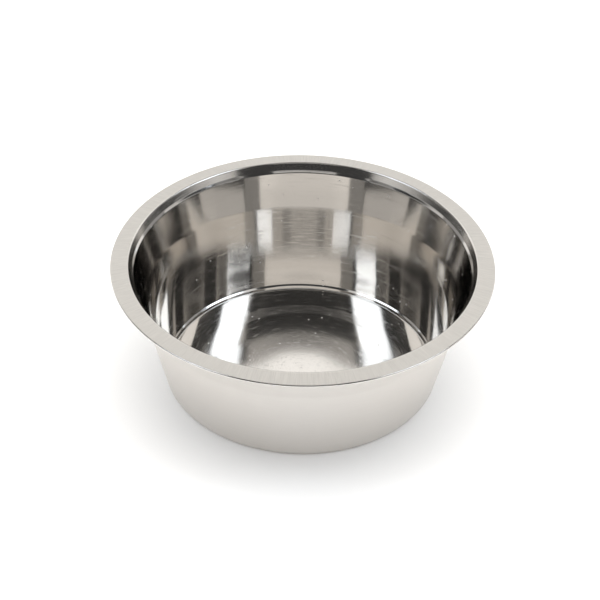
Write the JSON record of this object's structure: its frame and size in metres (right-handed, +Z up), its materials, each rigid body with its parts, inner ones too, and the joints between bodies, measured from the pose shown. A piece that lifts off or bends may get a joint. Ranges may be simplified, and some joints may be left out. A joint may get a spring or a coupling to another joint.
{
  "type": "dog bowl",
  "caption": "Round stainless steel feeding bowl with a tapering wall, a small stepped foot and a flat rim whose edge is turned under.",
  "frame": {"origin": "centre of the flat underside, on the surface that the bowl stands on", "axes": "+Z up along the bowl's axis of revolution; X and Y are any two square directions, since the bowl is round"},
  "size_m": [0.21, 0.21, 0.074],
  "materials": {
    "stainless": "stainless steel sheet, polished bright inside, brushed on the flat rim and satin outside"
  },
  "bodies": {
    "root": {"bowl": "stainless"}
  },
  "joints": []
}
